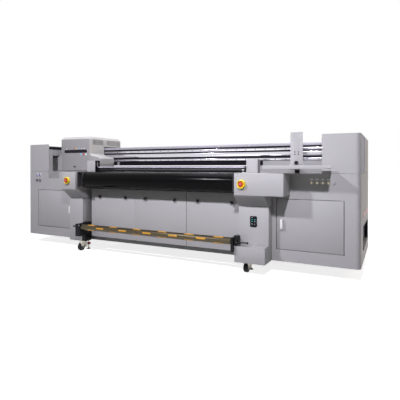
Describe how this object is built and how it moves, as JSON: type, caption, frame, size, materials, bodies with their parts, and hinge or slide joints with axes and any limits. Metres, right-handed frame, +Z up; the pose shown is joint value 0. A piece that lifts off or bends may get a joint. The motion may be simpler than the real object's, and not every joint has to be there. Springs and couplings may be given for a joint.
{
  "type": "hybrid flatbed uv printer",
  "caption": "Wide hybrid UV printer: a conveyor bed under a gantry with a sliding print carriage, end cabinets with towers, take-up shaft below and an operator tray.",
  "frame": {"origin": "centre of the bounding box in X and Y, on the floor under the levelling pads", "axes": "+X along the gantry to the operator's right, +Y from the front to the back, +Z up"},
  "size_m": [4.5, 1.82, 1.526],
  "materials": {
    "cabinet_paint": "powder coat, satin light grey",
    "carriage_paint": "powder coat, satin mid grey",
    "frame_paint": "dark grey paint",
    "belt": "smooth coated conveyor belt, slight gloss",
    "table_aluminium": "milled",
    "beam_aluminium": "anodised extrusion",
    "bright_steel": "ground bright steel",
    "chrome": "polished",
    "shaft_metal": "bronze grey anodised",
    "lug_rubber": "matt orange yellow",
    "black_metal": "black paint, semi gloss",
    "black_plastic": "moulded",
    "knob_grey": "moulded, mid grey",
    "guard_yellow": "moulded",
    "signal_red": "moulded",
    "button_cream": "moulded, cream",
    "button_grey": "moulded, light grey",
    "handle_white": "moulded",
    "display": "dark glass front",
    "zinc": "yellow zinc plated",
    "tyre": "moulded tread",
    "foot_red": "red painted hand wheels",
    "ink_blue": "translucent bottle",
    "head_dark": "moulded"
  },
  "bodies": {
    "machine": {"left_cabinet": "cabinet_paint", "right_cabinet": "cabinet_paint", "left_tower": "cabinet_paint", "right_tower": "cabinet_paint", "lower_panels": "cabinet_paint", "front_stands": "cabinet_paint", "rear_stands": "cabinet_paint", "pressure_blocks": "cabinet_paint", "tray": "cabinet_paint", "base_frame": "frame_paint", "electrics_panel": "frame_paint", "conveyor_belt": "belt", "vacuum_table": "table_aluminium", "gantry_beam": "beam_aluminium", "linear_rails": "bright_steel", "door_pivot_pins": "bright_steel", "shaft_brackets": "black_metal", "takeup_motor": "black_metal", "tray_post": "black_metal", "conveyor_side_plates": "black_metal", "panel_knobs": "black_plastic", "estop_guards": "guard_yellow", "display_panel": "display", "rear_caster_forks": "zinc", "levelling_feet": "foot_red", "ink_bottles": "ink_blue", "capping_station": "head_dark"},
    "front_roller": {"front_roller": "bright_steel"},
    "rear_roller": {"rear_roller": "bright_steel"},
    "takeup_shaft": {"takeup_shaft": "shaft_metal", "takeup_lugs": "lug_rubber"},
    "takeup_lever": {"takeup_lever": "black_plastic"},
    "unwind_shaft": {"unwind_shaft": "shaft_metal"},
    "pressure_bar": {"pressure_bar": "chrome"},
    "pressure_roller": {"pressure_roller": "belt"},
    "slider": {"carriage_slider": "table_aluminium"},
    "carriage": {"carriage_cover": "carriage_paint", "lamp_housings": "carriage_paint", "print_heads": "head_dark"},
    "left_door": {"left_door": "cabinet_paint", "left_door_handle": "handle_white"},
    "right_door": {"right_door": "cabinet_paint", "right_door_handle": "handle_white"},
    "estop_left": {"estop_left": "signal_red"},
    "estop_right": {"estop_right": "signal_red"},
    "regulator_knob_1": {"regulator_knob_1": "knob_grey"},
    "regulator_knob_2": {"regulator_knob_2": "knob_grey"},
    "monitor_plate": {"monitor_plate": "cabinet_paint"},
    "tilt_knob": {"tilt_knob": "black_plastic"},
    "left_caster_fork": {"left_caster_fork": "zinc"},
    "right_caster_fork": {"right_caster_fork": "zinc"},
    "front_left_wheel": {"front_left_wheel": "tyre"},
    "front_right_wheel": {"front_right_wheel": "tyre"},
    "rear_left_wheel": {"rear_left_wheel": "tyre"},
    "rear_right_wheel": {"rear_right_wheel": "tyre"},
    "push_button_1": {"push_button_1": "button_cream"},
    "push_button_2": {"push_button_2": "button_cream"},
    "push_button_3": {"push_button_3": "button_cream"},
    "push_button_4": {"push_button_4": "button_cream"},
    "push_button_5": {"push_button_5": "button_grey"}
  },
  "joints": [
    {"name": "front_roller_turn", "type": "hinge", "parent": "machine", "child": "front_roller", "pos_m": [0, -0.7475, 0.9375], "axis": [1, 0, 0], "continuous": true},
    {"name": "rear_roller_turn", "type": "hinge", "parent": "machine", "child": "rear_roller", "pos_m": [0, 0.7655, 0.9375], "axis": [1, 0, 0], "continuous": true},
    {"name": "takeup_turn", "type": "hinge", "parent": "machine", "child": "takeup_shaft", "pos_m": [0, -0.8525, 0.343], "axis": [1, 0, 0], "continuous": true},
    {"name": "unwind_turn", "type": "hinge", "parent": "machine", "child": "unwind_shaft", "pos_m": [0, 0.8705, 0.343], "axis": [1, 0, 0], "continuous": true},
    {"name": "takeup_lever_swing", "type": "hinge", "parent": "machine", "child": "takeup_lever", "pos_m": [1.104, -0.8725, 0.343], "axis": [0, -1, 0], "range_deg": [0, 70]},
    {"name": "pressure_lift", "type": "slide", "parent": "machine", "child": "pressure_bar", "axis": [0, 0, 1], "range_m": [0, 0.05]},
    {"name": "pressure_roller_turn", "type": "hinge", "parent": "pressure_bar", "child": "pressure_roller", "pos_m": [0, -0.5525, 1.0585], "axis": [1, 0, 0], "continuous": true},
    {"name": "carriage_travel", "type": "slide", "parent": "machine", "child": "slider", "axis": [1, 0, 0], "range_m": [-0.1, 2.9]},
    {"name": "carriage_lift", "type": "slide", "parent": "slider", "child": "carriage", "axis": [0, 0, 1], "range_m": [0, 0.08]},
    {"name": "left_door_swing", "type": "hinge", "parent": "machine", "child": "left_door", "pos_m": [-2.058, -0.5955, 0.516], "axis": [0, 0, -1], "range_deg": [0, 110]},
    {"name": "right_door_swing", "type": "hinge", "parent": "machine", "child": "right_door", "pos_m": [2.086, -0.5955, 0.516], "axis": [0, 0, 1], "range_deg": [0, 110]},
    {"name": "estop_left_push", "type": "slide", "parent": "machine", "child": "estop_left", "axis": [0, 1, 0], "range_m": [0, 0.006], "stiffness_N_per_m": 1500, "springref_m": -0.001},
    {"name": "estop_right_push", "type": "slide", "parent": "machine", "child": "estop_right", "axis": [0, 1, 0], "range_m": [0, 0.006], "stiffness_N_per_m": 1500, "springref_m": -0.001},
    {"name": "push_button_1_push", "type": "slide", "parent": "machine", "child": "push_button_1", "axis": [0, 1, 0], "range_m": [0, 0.003], "stiffness_N_per_m": 500, "springref_m": -0.001},
    {"name": "push_button_2_push", "type": "slide", "parent": "machine", "child": "push_button_2", "axis": [0, 1, 0], "range_m": [0, 0.003], "stiffness_N_per_m": 500, "springref_m": -0.001},
    {"name": "push_button_3_push", "type": "slide", "parent": "machine", "child": "push_button_3", "axis": [0, 1, 0], "range_m": [0, 0.003], "stiffness_N_per_m": 500, "springref_m": -0.001},
    {"name": "push_button_4_push", "type": "slide", "parent": "machine", "child": "push_button_4", "axis": [0, 1, 0], "range_m": [0, 0.003], "stiffness_N_per_m": 500, "springref_m": -0.001},
    {"name": "push_button_5_push", "type": "slide", "parent": "machine", "child": "push_button_5", "axis": [0, 1, 0], "range_m": [0, 0.003], "stiffness_N_per_m": 500, "springref_m": -0.001},
    {"name": "regulator_knob_1_turn", "type": "hinge", "parent": "machine", "child": "regulator_knob_1", "pos_m": [-2.097, -0.6215, 0.917], "axis": [0, -1, 0], "range_deg": [-150, 150]},
    {"name": "regulator_knob_2_turn", "type": "hinge", "parent": "machine", "child": "regulator_knob_2", "pos_m": [-2.036, -0.6215, 0.917], "axis": [0, -1, 0], "range_deg": [-150, 150]},
    {"name": "monitor_tilt", "type": "hinge", "parent": "machine", "child": "monitor_plate", "pos_m": [1.684, -0.7475, 1.12], "axis": [1, 0, 0], "range_deg": [-15, 15]},
    {"name": "tilt_knob_turn", "type": "hinge", "parent": "monitor_plate", "child": "tilt_knob", "pos_m": [1.684, -0.7725, 1.144], "axis": [0, -1, 0], "continuous": true},
    {"name": "left_caster_swivel", "type": "hinge", "parent": "machine", "child": "left_caster_fork", "pos_m": [-1.152, -0.6775, 0.1], "axis": [0, 0, 1], "continuous": true},
    {"name": "front_left_wheel_roll", "type": "hinge", "parent": "left_caster_fork", "child": "front_left_wheel", "pos_m": [-1.152, -0.7055, 0.051], "axis": [1, 0, 0], "continuous": true},
    {"name": "rear_left_wheel_roll", "type": "hinge", "parent": "machine", "child": "rear_left_wheel", "pos_m": [-1.152, 0.7235, 0.051], "axis": [1, 0, 0], "continuous": true},
    {"name": "right_caster_swivel", "type": "hinge", "parent": "machine", "child": "right_caster_fork", "pos_m": [1.152, -0.6775, 0.1], "axis": [0, 0, 1], "continuous": true},
    {"name": "front_right_wheel_roll", "type": "hinge", "parent": "right_caster_fork", "child": "front_right_wheel", "pos_m": [1.152, -0.7055, 0.051], "axis": [1, 0, 0], "continuous": true},
    {"name": "rear_right_wheel_roll", "type": "hinge", "parent": "machine", "child": "rear_right_wheel", "pos_m": [1.152, 0.7235, 0.051], "axis": [1, 0, 0], "continuous": true}
  ],
  "couplings": [
    {"joint": "rear_roller_turn", "follows": "front_roller_turn", "ratio": 1}
  ]
}
